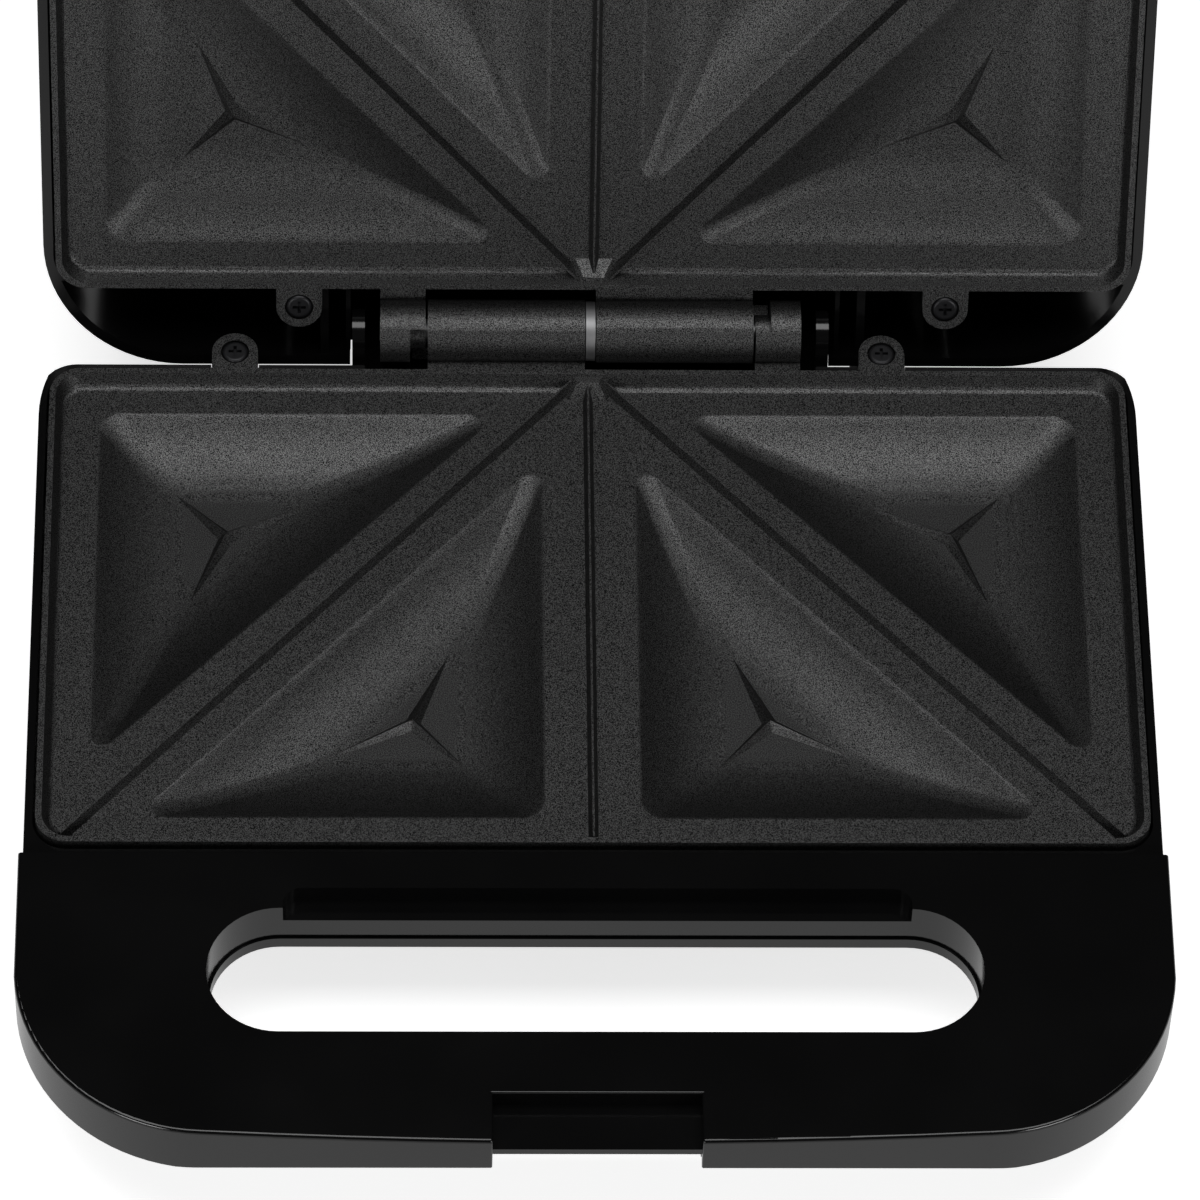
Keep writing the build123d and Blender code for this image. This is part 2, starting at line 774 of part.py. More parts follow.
def handle_cover(top):
    """The handle's skin, before the latch seat is cut."""
    low = top - handle_height
    wall_foot = top - cover_wall_height
    cover = prism(handle_outline(0), low, top) - arch_cut(top)
    rim = cover.edges().filter_by_position(Axis.Z, top - edge_slack, top + edge_slack)
    rim = rim.filter_by(lambda e: e.center().Y < joint_y - 1)
    cover = fillet(rim, handle_edge_round)
    room = prism(handle_outline(handle_wall), low - 1, top - handle_skin)
    room -= prism(slot_outline(slot_wall), low - 2, top)
    rebate_box = block(-rebate_left - rebate_floor, rebate_right + rebate_floor, -slot_rear - 1,
                       -rebate_rear + rebate_floor, top - rebate_depth - rebate_floor, top)
    room -= rebate_box
    for x, y in handle_screw_places():
        room -= post(x, y, handle_pillar_radius, low - 2, top)
    cover -= room
    cover -= prism(handle_outline(handle_wall), low - 1, wall_foot)
    cover -= prism(slot_outline(0), low - 1, top + 1)
    corners = [(-rebate_left, -slot_rear - 2), (rebate_right, -slot_rear - 2)]
    corners += [(rebate_right, -rebate_rear), (-rebate_left, -rebate_rear)]
    rebate = rounded(corners, [rebate_open_round, rebate_open_round, rebate_round, rebate_round])
    cover -= prism(rebate, top - rebate_depth, top + 1)
    for x, y in handle_screw_places():
        cover -= post(x, y, bore_radius, low, top - handle_skin + melt)
    return cover


def handle_tray(top):
    """The handle's underside, inside the skin's wall and against the housing's front."""
    tray_top = top - cover_wall_height - tray_gap
    tray = prism(handle_outline(handle_wall + tray_side_gap), top - handle_height, tray_top)
    tray -= arch_cut(top)
    tray -= prism(slot_outline(-tray_slot_step), top - handle_height - 1, tray_top + 1)
    tray -= block(-latch_seat_half, latch_seat_half, -far, -latch_seat_rear, -far, tray_top + 1)
    for x, y in handle_screw_places():
        tray -= post(x, y, bore_radius, top - handle_height - 1, tray_top + 1)
    return tray


def handle_screw(x, y, top):
    return Pos(x, y, top - handle_height) * Rot(180, 0, 0) * pan_screw(screw_length)


def base_handle_cover():
    """The base's handle skin with the seat and the ledge that the latch hooks under."""
    cover = handle_cover(0)
    foot = -cover_wall_height + 1
    outer = latch_seat_half + latch_seat_wall
    seat = block(-outer, outer, -handle_front - 1, -latch_seat_rear + latch_seat_wall,
                 foot, -handle_skin + melt)
    cover += seat & prism(handle_outline(0), foot, 0)
    ledge_foot = -ledge_drop - ledge_thickness
    cover -= block(-latch_seat_half, latch_seat_half, -handle_front - 1, -latch_seat_rear, -ledge_drop, 1)
    cover -= block(-latch_seat_half, latch_seat_half, -handle_front - 1, -latch_seat_rear - hook_room_depth,
                   -handle_height - 1, ledge_foot)
    front = -handle_front + ledge_front_gap
    cover -= block(-latch_seat_half, latch_seat_half, -handle_front - 1, front, -handle_height - 1, 1)
    lip = cover.edges().filter_by_position(Axis.Z, -edge_slack, edge_slack)
    lip = lip.filter_by(lambda e: abs(e.center().X) <= latch_seat_half + edge_slack)
    lip = lip.filter_by(lambda e: e.center().Y < -latch_seat_rear + edge_slack)
    return fillet(lip, handle_edge_round / 2)


def lid_handle_cover():
    """The lid's handle skin with the gap that the latch swings in."""
    top = -lid_handle_drop
    cover = handle_cover(top)
    outer = latch_seat_half + latch_pin_grip + 1
    foot = top - cover_wall_height
    seat = block(-outer, outer, -handle_front - 1, -latch_seat_rear + latch_seat_wall,
                 foot, top - handle_skin + melt)
    cover += seat & prism(handle_outline(0), foot, top)
    cover -= block(-latch_seat_half, latch_seat_half, -handle_front - 1, -latch_seat_rear, -far, 1)
    cover -= cross_rod(-latch_pivot_y, -latch_pivot_drop, latch_pin_radius + pin_clearance,
                       -latch_seat_half - latch_pin_grip, latch_seat_half + latch_pin_grip)
    return cover


# Base housing
def base_plan(shrink):
    x = base_half - shrink
    corners = [(-x, joint_y + shrink), (x, joint_y + shrink), (x, base_rear - shrink), (-x, base_rear - shrink)]
    rear = base_rear_round - shrink
    return rounded(corners, [joint_corner_round, joint_corner_round, rear, rear])


def room_plan(front_y, rear_y):
    corners = [(-room_half, front_y), (room_half, front_y), (room_half, rear_y), (-room_half, rear_y)]
    return rounded(corners, [plate_corner + housing_gap] * 4)


def base_shell():
    """The lower housing: plate room, sloped rear and hinge block with cheeks."""
    top = -base_lip_drop
    slope = [(-base_lip_rear, 1), (-base_lip_rear, -slope_top_drop), (base_rear, -slope_foot_drop)]
    slope += [(base_rear + 1, -slope_foot_drop), (base_rear + 1, 1)]
    lip_corners = [(-base_half, joint_y), (base_half, joint_y)]
    lip_corners += [(base_half, -base_lip_rear), (-base_half, -base_lip_rear)]
    lip_plan = rounded(lip_corners, [joint_corner_round, joint_corner_round, base_lip_round, base_lip_round])
    shell = prism(base_plan(0), -base_depth, -slope_top_drop)
    shell += prism(lip_plan, -slope_top_drop, top) & prism(base_plan(0), -slope_top_drop, top)
    shell -= side_prism(slope, -far, far)
    left = hinge_middle - cheek_far
    right = hinge_middle + cheek_far
    shell += block(left, right, -base_lip_rear - 1, hinge_block_rear, -hinge_block_foot, -hinge_block_top)

    # Room under the slope and inside the hinge block
    wall = base_wall
    run = base_rear + base_lip_rear
    fall = slope_foot_drop - slope_top_drop
    lean = hypot(run, fall) / fall
    shift = wall * lean
    under = [(-base_lip_rear, -base_depth), (-base_lip_rear, -slope_top_drop - shift * fall / run)]
    under += [(base_rear - wall, -slope_foot_drop - shift * fall / run + wall * fall / run)]
    under += [(base_rear - wall, -base_depth)]
    room = side_prism(under, -far, far) & prism(base_plan(wall), -base_depth, 0)
    room += block(left + wall, right - wall, -base_lip_rear, hinge_block_rear - wall,
                  -base_depth, -hinge_block_top - wall)
    shell -= room
    shell -= prism(room_plan(room_front_y, room_rear_y), -base_depth - 1, 1)
    shell -= prism(base_plan(wall), -base_depth - 1, cover_top)
    shell -= block(hinge_middle - cheek_near, hinge_middle + cheek_near, room_rear_y - 1, 0,
                   -web_passage_drop, 1)
    shell += prism(base_plan(0), -base_depth, cover_top) - prism(base_plan(wall), -base_depth - 1, cover_top + 1)

    # Cheeks beside the knuckles
    for near, away in ((hinge_middle - cheek_far, hinge_middle - cheek_near),
                       (hinge_middle + cheek_near, hinge_middle + cheek_far)):
        cheek = cross_rod(0, 0, cheek_radius, near, away)
        cheek += side_prism([(-cheek_radius, 0), (cheek_radius, 0), (hinge_block_rear, -hinge_block_top),
                             (-base_lip_rear, -hinge_block_top)], near, away)
        shell += cheek

    # Bosses for the plate's screws
    for x in (-left_lug_x, right_lug_x):
        boss = post(x, -lug_from_axis, boss_radius, -boss_foot, rim_top - lug_thickness)
        boss &= block(x - far, x + far, -far, -boss_rear_limit, -far, far)
        shell += boss & block(-far, far, room_rear_y, far, -far, far)
        shell -= post(x, -lug_from_axis, bore_radius, rim_top - lug_thickness - screw_length, 1)
        half = lug_width / 2 + tray_gap
        shell -= block(x - half, x + half, room_rear_y - 1, -boss_rear_limit, rim_top - lug_thickness, 1)

    # Pillars that carry the plate's skirt and take the underside's screws
    for x in (-pillar_x, pillar_x):
        for y in (pillar_front_y, pillar_rear_y):
            shell += post(x, y, pillar_radius, cover_top, skirt_foot)
            shell -= post(x, y, bore_radius, cover_top - 1, cover_top + screw_length + 1)

    # Slots for the plate's front tongues
    for side in (-1, 1):
        x = side * tongue_x
        half = tongue_width / 2 + housing_gap
        shell -= block(x - half, x + half, joint_y + melt, room_front_y + overlap,
                       skirt_foot - housing_gap, skirt_foot + tongue_thickness + housing_gap)

    # Passage for the cord, open at the underside
    shell -= block(block_x - inlet_plate_half, block_x + inlet_plate_half, room_rear_y - 1, base_rear + 1,
                   -base_depth - 1, inlet_top)
    return shell


def cord_inlet_plate():
    """The plate that closes the cord passage's outer end and holds the gland."""
    half = inlet_plate_half - inlet_plate_gap
    plate = block(block_x - half, block_x + half, base_rear - base_wall, base_rear,
                  -base_depth, inlet_top - inlet_plate_gap)
    return plate - back_rod(block_x, -gland_drop, gland_neck + gland_gap, base_rear - far, base_rear + far)


def base_bottom_cover():
    """The plate that closes the underside, with vents, screw holes and foot holes."""
    cover = prism(base_plan(base_wall + cover_gap), -base_depth, cover_top)
    for x in (-pillar_x, pillar_x):
        for y in (pillar_front_y, pillar_rear_y):
            cover -= post(x, y, bore_radius, -base_depth - 1, cover_top + 1)
    for x, y in foot_places():
        cover -= post(x, y, foot_peg_radius + foot_peg_fit, -base_depth - 1, cover_top + 1)
    middle_y = (room_front_y + room_rear_y) / 2
    for i in range(vent_count):
        y = middle_y + (i - (vent_count - 1) / 2) * vent_pitch
        slot = Pos(0, y) * SlotOverall(vent_length, vent_width)
        cover -= prism(slot, -base_depth - 1, cover_top + 1)
    return cover


def foot_places():
    front_x = base_half - foot_side_margin
    rear_x = base_half - rear_foot_side_margin
    return [(-front_x, -front_foot_y), (front_x, -front_foot_y), (-rear_x, -rear_foot_y), (rear_x, -rear_foot_y)]


def foot(x, y):
    pad = post(x, y, foot_radius, -base_depth - foot_height, -base_depth)
    pad = chamfer(pad.edges().sort_by(Axis.Z)[0], foot_bevel)
    return pad + post(x, y, foot_peg_radius, -base_depth - 1, cover_top)


def bottom_screw(x, y):
    return Pos(x, y, -base_depth) * Rot(180, 0, 0) * pan_screw(screw_length)


# Lid housing
def lid_plan(shrink):
    x = lid_half_width - shrink
    corners = [(-x, joint_y + shrink), (x, joint_y + shrink), (x, lid_rear - shrink), (-x, lid_rear - shrink)]
    rear = lid_rear_round - shrink
    return rounded(corners, [joint_corner_round, joint_corner_round, rear, rear])


def lid_shell():
    """The upper housing: plate room and hinge gutter with ribs."""
    back = -lid_depth
    ceiling = back + lid_wall
    shell = prism(lid_plan(0), back, -lid_lip_drop)
    shell = fillet(shell.edges().filter_by_position(Axis.Z, back - edge_slack, back + edge_slack), lid_top_round)
    partition_rear = room_rear_y + partition_thickness
    gutter = prism(lid_plan(lid_wall), ceiling, 1)
    gutter &= block(-far, far, partition_rear, far, -far, far)
    room = prism(room_plan(room_front_y, room_rear_y), ceiling, 1)
    shell -= gutter + room
    shell -= prism(lid_plan(lid_wall), skirt_foot - partition_gap, 1) \
        & block(-far, far, room_rear_y - 1, partition_rear + 1, -far, far)
    for x, thickness in ((cheek_far + inner_rib_from_cheek, inner_rib_thickness),
                         (cheek_far + outer_rib_from_cheek, outer_rib_thickness)):
        for side in (-1, 1):
            middle = side * x
            shell += block(middle - thickness / 2, middle + thickness / 2, partition_rear - overlap,
                           lid_rear - lid_wall + overlap, ceiling - overlap, -rib_drop)
    notch_half = cheek_far + lid_notch_gap
    shell -= block(hinge_middle - notch_half, hinge_middle + notch_half, lid_rear - lid_wall - 1, far,
                   -lid_notch_drop, 1)
    for x in (-left_lug_x, right_lug_x):
        shell += post(x, -lug_from_axis, boss_radius, ceiling - overlap, rim_top - lug_thickness) \
            & block(-far, far, room_rear_y, far, -far, far)
        shell -= post(x, -lug_from_axis, bore_radius, rim_top - lug_thickness - screw_length, 1)
    for x in (-pillar_x, pillar_x):
        for y in (pillar_front_y, pillar_rear_y):
            shell += post(x, y, pillar_radius, ceiling - overlap, skirt_foot)
    for side in (-1, 1):
        x = side * tongue_x
        half = tongue_width / 2 + housing_gap
        shell -= block(x - half, x + half, joint_y + melt, room_front_y + overlap,
                       skirt_foot - housing_gap, skirt_foot + tongue_thickness + housing_gap)
        shell -= post(side * lamp_x, -lamp_y, lens_radius + lens_gap, back - 1, ceiling + 1)
        shell += post(side * board_post_x, -lamp_y, board_post_radius,
                      ceiling - overlap, -board_plane - board_thickness)
    return shell


# Lamps
def lens(x):
    body = post(x, -lamp_y, lens_radius, -lid_depth, -lid_depth + lens_depth)
    flange = post(x, -lamp_y, lens_flange, -lid_depth - lens_flange_height, -lid_depth)
    flange = fillet(flange.edges().sort_by(Axis.Z)[0], lens_flange_height * lens_dome_share)
    return body + flange


def lamp_board():
    back = -board_plane - board_thickness
    board = block(-board_half_width, board_half_width, -lamp_y - board_length / 2, -lamp_y + board_length / 2,
                  back, -board_plane)
    lens_end = -lid_depth + lens_depth
    for side in (-1, 1):
        board += post(side * lamp_x, -lamp_y, bulb_radius, lens_end + bulb_gap, back + overlap)
    return board


# Thermostat, terminal block, fuse, gland and leads
def thermostat():
    body = post(0, -pad_y, thermostat_radius, post_foot - thermostat_height, post_foot)
    low = lead_z - tab_thickness / 2
    high = lead_z + tab_thickness / 2
    body += block(0, thermostat_radius + tab_length, -pad_y - tab_width / 2, -pad_y + tab_width / 2, low, high)
    body += block(-tab_width / 2, tab_width / 2, -pad_y - thermostat_radius - tab_length, -pad_y, low, high)
    return body


def terminal_block():
    top = lead_z + block_height / 2 - 1
    return block(block_x - block_width / 2, block_x + block_width / 2, -block_front,
                 -block_front + block_length, top - block_height, top)


def lead(points):
    """A round insulated lead: straight runs joined by tangent arcs, level on one plane."""
    places = [(x, y, lead_z) for x, y in points]
    if len(points) > 2:
        path = FilletPolyline(*places, radius=lead_bend)
    else:
        path = Line(*places)
    start = Vector(points[0][0], points[0][1], lead_z)
    way = Vector(points[1][0] - points[0][0], points[1][1] - points[0][1], 0).normalized()
    return sweep(Plane(start, z_dir=way) * Circle(lead_radius), path=path)


live_x = block_x - block_pole_x
neutral_x = block_x + block_pole_x
block_face = -block_front - lead_end_gap
strap_face = strap_x - lead_end_gap


def thermal_fuse():
    y1 = -block_front - fuse_from_block
    sleeve = back_rod(live_x, lead_z, fuse_radius, y1 - fuse_length, y1)
    return sleeve - back_rod(live_x, lead_z, lead_radius + pin_clearance, y1 - fuse_length - 1, y1 + 1)


def cord_gland():
    """The rubber inlet that the mains lead passes: neck in the wall, flange and boot outside."""
    inner = base_rear - base_wall
    neck = back_rod(block_x, -gland_drop, gland_neck, inner - anchor_thickness, base_rear)
    flange = back_rod(block_x, -gland_drop, gland_flange, base_rear, base_rear + gland_flange_thickness)
    boot_start = base_rear + gland_flange_thickness
    boot = Cone(gland_boot_root, gland_boot_tip, gland_boot_length, align=(Align.CENTER, Align.CENTER, Align.MIN))
    boot = Pos(block_x, boot_start, -gland_drop) * Rot(-90, 0, 0) * boot
    body = neck + flange + boot
    return body - back_rod(block_x, -gland_drop, gland_bore, inner - far, base_rear + far)


# Latch
def latch_clip():
    """The clip in its hooked position; it turns on the pin in the lid's handle."""
    half = latch_seat_half - lid_side_shift - latch_side_gap
    y_in = -handle_front - latch_front_gap + ledge_front_gap
    y_out = y_in - latch_plate_thickness
    hook_top = ledge_drop + ledge_thickness + hook_gap
    hook_end = hook_top + hook_thickness
    clip = cross_rod(-latch_pivot_y, -latch_pivot_drop, latch_barrel_radius, -half, half)
    clip += block(-half, half, y_out, y_in, -latch_pivot_drop - 2, hook_end)
    clip += block(-half, half, y_in - melt, -latch_pivot_y,
                  -latch_pivot_drop - latch_web_half, -latch_pivot_drop + latch_web_half)
    clip += block(-half, half, y_in - melt, y_in + hook_reach, hook_top, hook_end)
    outer = clip.edges().filter_by(Axis.X).filter_by(lambda e: abs(e.center().Y - y_out) < edge_slack)
    clip = fillet(outer, latch_edge_round)
    return clip - cross_rod(-latch_pivot_y, -latch_pivot_drop, latch_pin_radius + pin_clearance, -far, far)


def latch_pin():
    reach = latch_seat_half + latch_pin_grip - overlap
    return cross_rod(-latch_pivot_y, -latch_pivot_drop, latch_pin_radius, -reach, reach)


# Hinge pin and washer
def hinge_pin():
    half = short_knuckle_far - pin_end_inset
    pin = cross_rod(0, 0, pin_radius, hinge_middle - half, hinge_middle + half)
    return chamfer(pin.edges().filter_by(GeomType.CIRCLE), pin_bevel)


def hinge_washer():
    x0 = -long_knuckle_near + washer_side_gap
    x1 = long_knuckle_near + lid_side_shift - washer_side_gap
    return cross_rod(0, 0, washer_radius, x0, x1) - cross_rod(0, 0, barrel_bore, x0 - 1, x1 + 1)


# The assembly
in_lid = Pos(lid_side_shift, 0, 0) * Rot(-opening_angle, 0, 0) * Rot(0, 180, 0)
latch_swing = Pos(0, -latch_pivot_y, -latch_pivot_drop) * Rot(latch_open_angle, 0, 0) \
    * Pos(0, latch_pivot_y, latch_pivot_drop)

casting = plate_casting()
heating_tube = heater()
terminals = heater_terminals()
lug_screw_z = rim_top - screw_head_height + screw_head_proud

pieces = {}
pieces["base_shell"] = base_shell()
pieces["base_bottom_cover"] = base_bottom_cover()
pieces["base_handle_cover"] = base_handle_cover()
pieces["base_handle_tray"] = handle_tray(0)
for i, (x, y) in enumerate(foot_places()):
    pieces[f"foot_{i + 1}"] = foot(x, y)
bottom_places = [(x, y) for y in (pillar_front_y, pillar_rear_y) for x in (-pillar_x, pillar_x)]
for i, (x, y) in enumerate(bottom_places):
    pieces[f"bottom_screw_{i + 1}"] = bottom_screw(x, y)
for i, (x, y) in enumerate(handle_screw_places()):
    pieces[f"base_handle_screw_{i + 1}"] = handle_screw(x, y, 0)
pieces["lower_plate"] = casting
for i, x in enumerate((-left_lug_x, right_lug_x)):
    pieces[f"lower_plate_screw_{i + 1}"] = Pos(x, -lug_from_axis, lug_screw_z) * pan_screw(screw_length)
pieces["lower_heater"] = heating_tube
pieces["lower_heater_terminals"] = terminals
pieces["lower_reflector"] = reflector(True)
for i, (x, y) in enumerate(post_places()):
    pieces[f"lower_reflector_screw_{i + 1}"] = reflector_screw(x, y)
pieces["thermostat"] = thermostat()
pieces["thermal_fuse"] = thermal_fuse()
pieces["terminal_block"] = terminal_block()
pieces["cord_inlet_plate"] = cord_inlet_plate()
pieces["cord_gland"] = cord_gland()
tab_end = thermostat_radius + tab_length + lead_end_gap
pieces["lead_live"] = lead([(live_x, block_face), (live_x, -pad_y), (tab_end, -pad_y)])
pieces["lead_neutral"] = lead([(neutral_x, block_face), (neutral_x, -heater_rear_y), (strap_face, -heater_rear_y)])
pieces["lead_switched"] = lead([(0, -pad_y - tab_end), (0, -heater_front_y), (strap_face, -heater_front_y)])
pieces["hinge_pin"] = hinge_pin()
pieces["hinge_washer"] = hinge_washer()

lid_pieces = {}
lid_pieces["lid_shell"] = lid_shell()
lid_pieces["lid_handle_cover"] = lid_handle_cover()
lid_pieces["lid_handle_tray"] = handle_tray(-lid_handle_drop)
for i, (x, y) in enumerate(handle_screw_places()):
    lid_pieces[f"lid_handle_screw_{i + 1}"] = handle_screw(x, y, -lid_handle_drop)
lid_pieces["upper_plate"] = casting
for i, x in enumerate((-left_lug_x, right_lug_x)):
    lid_pieces[f"upper_plate_screw_{i + 1}"] = Pos(x, -lug_from_axis, lug_screw_z) * pan_screw(screw_length)
lid_pieces["upper_heater"] = heating_tube
lid_pieces["upper_heater_terminals"] = terminals
lid_pieces["upper_reflector"] = reflector(False)
for i, (x, y) in enumerate(post_places()):
    lid_pieces[f"upper_reflector_screw_{i + 1}"] = reflector_screw(x, y)
lid_pieces["lamp_lens_red"] = lens(-lamp_x)
lid_pieces["lamp_lens_green"] = lens(lamp_x)
lid_pieces["lamp_board"] = lamp_board()
board_edge = board_half_width + lead_end_gap
board_rear_y = -lamp_y + board_length / 2
strap_side_y = -heater_front_y - strap_width / 2 - lead_end_gap
strap_middle_x = strap_x + strap_thickness / 2
lid_pieces["lead_lamp_1"] = lead([(board_edge, -lamp_y), (strap_middle_x, -lamp_y), (strap_middle_x, strap_side_y)])
lid_pieces["lead_lamp_2"] = lead([(0, board_rear_y + lead_end_gap), (0, -heater_rear_y),
                                  (strap_face, -heater_rear_y)])
lid_pieces["latch_pin"] = latch_pin()
lid_pieces["latch_clip"] = latch_swing * latch_clip()
for name, shape in lid_pieces.items():
    pieces[name] = in_lid * shape

# The origin: on the table, under the middle of the open appliance
bounds = Compound(children=[Compound(s.solids()) for s in pieces.values()]).bounding_box()
to_origin = Pos(-(bounds.min.X + bounds.max.X) / 2, -(bounds.min.Y + bounds.max.Y) / 2, -bounds.min.Z)

os.makedirs("parts", exist_ok=True)
for name, shape in pieces.items():
    export_step(to_origin * shape, f"parts/{name}.step")
print("hinge axis at", to_origin.position)
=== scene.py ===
import json
from math import cos, radians, sin

import bmesh
import bpy
from mathutils import Matrix, Vector


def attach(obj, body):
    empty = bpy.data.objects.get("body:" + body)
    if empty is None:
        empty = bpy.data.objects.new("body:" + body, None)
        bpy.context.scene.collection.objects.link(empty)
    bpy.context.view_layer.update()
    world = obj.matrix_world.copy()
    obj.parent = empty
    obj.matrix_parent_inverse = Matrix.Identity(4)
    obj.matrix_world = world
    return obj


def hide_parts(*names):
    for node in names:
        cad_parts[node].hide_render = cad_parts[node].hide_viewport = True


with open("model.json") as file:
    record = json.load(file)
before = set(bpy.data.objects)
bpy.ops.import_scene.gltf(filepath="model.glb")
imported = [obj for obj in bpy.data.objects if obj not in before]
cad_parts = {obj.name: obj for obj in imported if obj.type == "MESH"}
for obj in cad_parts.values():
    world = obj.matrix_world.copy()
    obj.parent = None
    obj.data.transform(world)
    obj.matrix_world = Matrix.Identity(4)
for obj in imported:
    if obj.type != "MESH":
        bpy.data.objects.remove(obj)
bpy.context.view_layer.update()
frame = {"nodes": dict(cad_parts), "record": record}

# The object is a sandwich maker standing open; all lengths here are in metres.
hinge = Vector(frame["record"]["behaviour"]["joints"][0]["pos_m"])


# Camera, as solved from the photograph: its place from the hinge's middle and its three angles
camera_from_hinge = Vector((-0.03913, -1.02835, 1.37038))
camera_elevation = radians(55.023)
camera_yaw = radians(2.417)
camera_roll = radians(2.142)
camera_lens = 238.99
sensor_width = 36.0


def add_camera():
    data = bpy.data.cameras.new("camera")
    data.lens = camera_lens
    data.sensor_width = sensor_width
    data.sensor_fit = "AUTO"
    data.clip_start = 0.05
    data.clip_end = 50.0
    camera = bpy.data.objects.new("camera", data)
    bpy.context.scene.collection.objects.link(camera)
    ahead = Vector((sin(camera_yaw) * cos(camera_elevation), cos(camera_yaw) * cos(camera_elevation),
                    -sin(camera_elevation)))
    level = Vector((cos(camera_yaw), -sin(camera_yaw), 0))
    above = level.cross(ahead)
    right = level * cos(camera_roll) + above * sin(camera_roll)
    up = right.cross(ahead)
    turn = Matrix((right, up, -ahead)).transposed()
    camera.matrix_world = Matrix.Translation(hinge + camera_from_hinge) @ turn.to_4x4()
    bpy.context.scene.camera = camera


# Floor, backdrop and lights
def add_world():
    """A dim studio; the camera sees it white."""
    world = bpy.data.worlds.new("studio")
    bpy.context.scene.world = world
    world.use_nodes = True
    tree = world.node_tree
    tree.nodes.clear()
    dim = tree.nodes.new("ShaderNodeBackground")
    dim.inputs["Color"].default_value = (0.03, 0.03, 0.03, 1)
    white = tree.nodes.new("ShaderNodeBackground")
    white.inputs["Color"].default_value = (1, 1, 1, 1)
    path = tree.nodes.new("ShaderNodeLightPath")
    mix = tree.nodes.new("ShaderNodeMixShader")
    out = tree.nodes.new("ShaderNodeOutputWorld")
    tree.links.new(path.outputs["Is Camera Ray"], mix.inputs[0])
    tree.links.new(dim.outputs[0], mix.inputs[1])
    tree.links.new(white.outputs[0], mix.inputs[2])
    tree.links.new(mix.outputs[0], out.inputs["Surface"])


def add_floor():
    """A white sheet that keeps the object's shadow; the camera sees it lighter, mirrors see it even."""
    mesh = bpy.data.meshes.new("floor")
    half = 3.0
    level = -0.0002
    corners = [(-half, -half, level), (half, -half, level), (half, half, level), (-half, half, level)]
    mesh.from_pydata(corners, [], [(0, 1, 2, 3)])
    floor = bpy.data.objects.new("floor", mesh)
    bpy.context.scene.collection.objects.link(floor)
    material = bpy.data.materials.new("floor_white")
    material.use_nodes = True
    tree = material.node_tree
    shader = tree.nodes["Principled BSDF"]
    shader.inputs["Base Color"].default_value = (0.92, 0.92, 0.92, 1)
    shader.inputs["Roughness"].default_value = 0.7
    shader.inputs["Emission Color"].default_value = (1, 1, 1, 1)
    path = tree.nodes.new("ShaderNodeLightPath")
    where = tree.nodes.new("ShaderNodeTexCoord")
    away = tree.nodes.new("ShaderNodeVectorMath")
    away.operation = "LENGTH"
    tree.links.new(where.outputs["Object"], away.inputs[0])
    lift = tree.nodes.new("ShaderNodeMapRange")
    lift.inputs["From Min"].default_value = 0.3
    lift.inputs["From Max"].default_value = 1.5
    lift.inputs["To Min"].default_value = 0.72
    lift.inputs["To Max"].default_value = 1.0
    tree.links.new(away.outputs["Value"], lift.inputs["Value"])
    seen = tree.nodes.new("ShaderNodeMath")
    seen.operation = "MULTIPLY"
    tree.links.new(lift.outputs["Result"], seen.inputs[0])
    tree.links.new(path.outputs["Is Camera Ray"], seen.inputs[1])
    tree.links.new(seen.outputs[0], shader.inputs["Emission Strength"])
    mirrored = tree.nodes.new("ShaderNodeEmission")
    mirrored.inputs["Strength"].default_value = 0.62
    mix = tree.nodes.new("ShaderNodeMixShader")
    out = tree.nodes["Material Output"]
    tree.links.new(path.outputs["Is Glossy Ray"], mix.inputs[0])
    tree.links.new(shader.outputs[0], mix.inputs[1])
    tree.links.new(mirrored.outputs[0], mix.inputs[2])
    tree.links.new(mix.outputs[0], out.inputs["Surface"])
    mesh.materials.append(material)


def add_light(name, place, aim, size, size_y, power):
    data = bpy.data.lights.new(name, "AREA")
    data.shape = "RECTANGLE"
    data.size = size
    data.size_y = size_y
    data.energy = power
    light = bpy.data.objects.new(name, data)
    bpy.context.scene.collection.objects.link(light)
    light.location = place
    light.rotation_euler = (Vector(aim) - Vector(place)).to_track_quat("-Z", "Y").to_euler()


bpy.context.scene.view_settings.view_transform = "Standard"
add_camera()
add_world()
add_floor()
add_light("top_softbox", (0, -0.12, 1.5), (0, -0.05, 0), 1.4, 0.8, 12.5)
add_light("left_softbox", (-0.65, -1.0, 0.42), (0, 0.1, 0.12), 0.4, 0.35, 3.8)
add_light("right_softbox", (0.65, -1.0, 0.42), (0, 0.1, 0.12), 0.4, 0.35, 3.8)


# Materials
def material_for(name):
    material = bpy.data.materials.new(name)
    material.use_nodes = True
    tree = material.node_tree
    return material, tree, tree.nodes["Principled BSDF"]


def speckle(tree, scale, detail=2.0):
    where = tree.nodes.new("ShaderNodeTexCoord")
    noise = tree.nodes.new("ShaderNodeTexNoise")
    noise.inputs["Scale"].default_value = scale
    noise.inputs["Detail"].default_value = detail
    tree.links.new(where.outputs["Object"], noise.inputs["Vector"])
    return noise


def spread(tree, source, low, high, to_low, to_high):
    ramp = tree.nodes.new("ShaderNodeMapRange")
    ramp.inputs["From Min"].default_value = low
    ramp.inputs["From Max"].default_value = high
    ramp.inputs["To Min"].default_value = to_low
    ramp.inputs["To Max"].default_value = to_high
    tree.links.new(source, ramp.inputs["Value"])
    return ramp.outputs["Result"]


def grey_mix(tree, factor, dark, light):
    mix = tree.nodes.new("ShaderNodeMix")
    mix.data_type = "RGBA"
    mix.inputs["A"].default_value = (*dark, 1)
    mix.inputs["B"].default_value = (*light, 1)
    tree.links.new(factor, mix.inputs["Factor"])
    return mix.outputs["Result"]


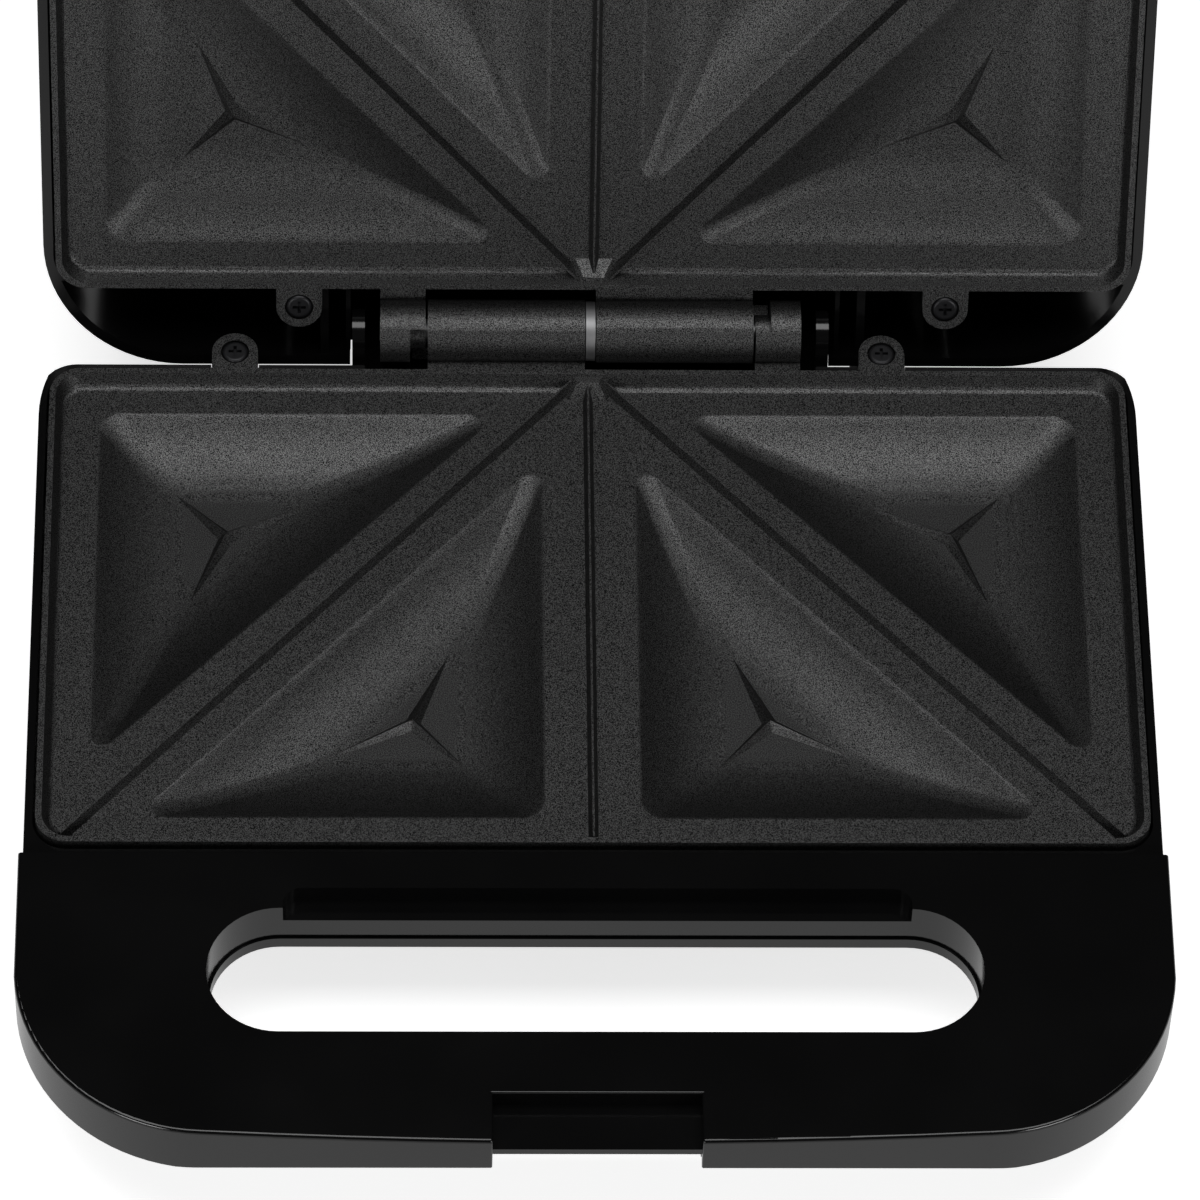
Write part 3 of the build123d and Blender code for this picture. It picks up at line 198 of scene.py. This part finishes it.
def bump(tree, shader, height, strength, distance):
    node = tree.nodes.new("ShaderNodeBump")
    node.inputs["Strength"].default_value = strength
    node.inputs["Distance"].default_value = distance
    tree.links.new(height, node.inputs["Height"])
    tree.links.new(node.outputs["Normal"], shader.inputs["Normal"])


def gloss_plastic(name, colour, roughness):
    material, tree, shader = material_for(name)
    cloud = speckle(tree, 35.0)
    shade = spread(tree, cloud.outputs["Fac"], 0.3, 0.7, 0.0, 1.0)
    darker = tuple(c * 0.85 for c in colour)
    tree.links.new(grey_mix(tree, shade, darker, colour), shader.inputs["Base Color"])
    tree.links.new(spread(tree, cloud.outputs["Fac"], 0.3, 0.7, roughness * 0.85, roughness * 1.2),
                   shader.inputs["Roughness"])
    shader.inputs["IOR"].default_value = 1.5
    ripple = speckle(tree, 60.0, 1.0)
    bump(tree, shader, ripple.outputs["Fac"], 0.05, 0.0004)
    return material


def coated_metal():
    material, tree, shader = material_for("coated_aluminium")
    grain = speckle(tree, 5600.0, 1.0)
    flecks = speckle(tree, 3000.0, 1.0)
    shade = spread(tree, grain.outputs["Fac"], 0.38, 0.66, 0.0, 1.0)
    tree.links.new(grey_mix(tree, shade, (0.0003, 0.0003, 0.0003), (0.004, 0.004, 0.004)), shader.inputs["Base Color"])
    tree.links.new(spread(tree, flecks.outputs["Fac"], 0.4, 0.65, 0.54, 0.44), shader.inputs["Roughness"])
    tree.links.new(spread(tree, grain.outputs["Fac"], 0.42, 0.58, 0.05, 0.95), shader.inputs["Specular IOR Level"])
    shader.inputs["IOR"].default_value = 1.7
    bump(tree, shader, flecks.outputs["Fac"], 0.3, 0.00008)
    return material


def plain(name, colour, metallic, roughness, scale=120.0, lift=0.05):
    material, tree, shader = material_for(name)
    cloud = speckle(tree, scale, 3.0)
    shade = spread(tree, cloud.outputs["Fac"], 0.3, 0.7, 0.0, 1.0)
    darker = tuple(c * 0.8 for c in colour)
    tree.links.new(grey_mix(tree, shade, darker, colour), shader.inputs["Base Color"])
    tree.links.new(spread(tree, cloud.outputs["Fac"], 0.3, 0.7, roughness * 0.85, min(1.0, roughness * 1.2)),
                   shader.inputs["Roughness"])
    shader.inputs["Metallic"].default_value = metallic
    bump(tree, shader, cloud.outputs["Fac"], lift, 0.0002)
    return material


finishes = {
    "black_plastic": gloss_plastic("black_plastic", (0.0025, 0.0025, 0.0026), 0.14),
    "coated_aluminium": coated_metal(),
    "dark_steel": plain("dark_steel", (0.02, 0.02, 0.022), 0.6, 0.4),
    "foot_rubber": plain("foot_rubber", (0.02, 0.02, 0.02), 0.0, 0.8, 400.0, 0.3),
    "pin_steel": plain("pin_steel", (0.3, 0.3, 0.305), 1.0, 0.5),
    "heater_steel": plain("heater_steel", (0.32, 0.3, 0.28), 1.0, 0.45),
    "terminal_brass": plain("terminal_brass", (0.75, 0.55, 0.25), 1.0, 0.35),
    "reflector_sheet": plain("reflector_sheet", (0.7, 0.7, 0.71), 1.0, 0.3, 60.0),
    "thermostat_metal": plain("thermostat_metal", (0.6, 0.6, 0.62), 1.0, 0.35),
    "white_insulator": plain("white_insulator", (0.8, 0.79, 0.74), 0.0, 0.5),
    "gland_rubber": plain("gland_rubber", (0.015, 0.015, 0.015), 0.0, 0.7, 300.0, 0.2),
    "brown_lead": plain("brown_lead", (0.2, 0.07, 0.03), 0.0, 0.5),
    "blue_lead": plain("blue_lead", (0.03, 0.1, 0.45), 0.0, 0.5),
    "red_lens": plain("red_lens", (0.5, 0.01, 0.01), 0.0, 0.12, 40.0, 0.0),
    "green_lens": plain("green_lens", (0.01, 0.35, 0.05), 0.0, 0.12, 40.0, 0.0),
    "lamp_board": plain("lamp_board", (0.06, 0.2, 0.08), 0.0, 0.5),
}

slot_of = {entry["node"]: entry["material_slot"] for entry in frame["record"]["subparts"]}
for node, thing in frame["nodes"].items():
    thing.data.materials.clear()
    thing.data.materials.append(finishes[slot_of[node]])


# The plates' dished pockets, shaded smooth; the flat land, the stars and the raised lines stay crisp
flat_tilt = radians(0.5)
steep_tilt = radians(40)
crisp_bend = radians(26)
steep_bend = radians(5)


def stays_crisp(edge, facing):
    if len(edge.link_faces) != 2:
        return True
    tilts = [face.normal.angle(facing, 0) for face in edge.link_faces]
    bend = edge.calc_face_angle(0)
    meets_flat = min(tilts) < flat_tilt <= max(tilts)
    meets_steep = min(tilts) < steep_tilt <= max(tilts) and bend > steep_bend
    return meets_flat or meets_steep or bend > crisp_bend


def smooth_plate(node, body, facing):
    work = bmesh.new()
    work.from_mesh(frame["nodes"][node].data)
    bmesh.ops.remove_doubles(work, verts=work.verts, dist=1e-6)
    for face in work.faces:
        face.smooth = True
    for edge in work.edges:
        edge.smooth = not stays_crisp(edge, facing)
    mesh = bpy.data.meshes.new(node + "_smooth")
    work.to_mesh(mesh)
    work.free()
    mesh.materials.clear()
    mesh.materials.append(finishes["coated_aluminium"])
    plate = bpy.data.objects.new(node + "_smooth", mesh)
    bpy.context.scene.collection.objects.link(plate)
    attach(plate, body)
    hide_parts(node)


opening = radians(frame["record"]["behaviour"]["joints"][0]["range_deg"][1])
smooth_plate("lower_plate", "base", Vector((0, 0, 1)))
smooth_plate("upper_plate", "lid", Vector((0, -sin(opening), -cos(opening))))
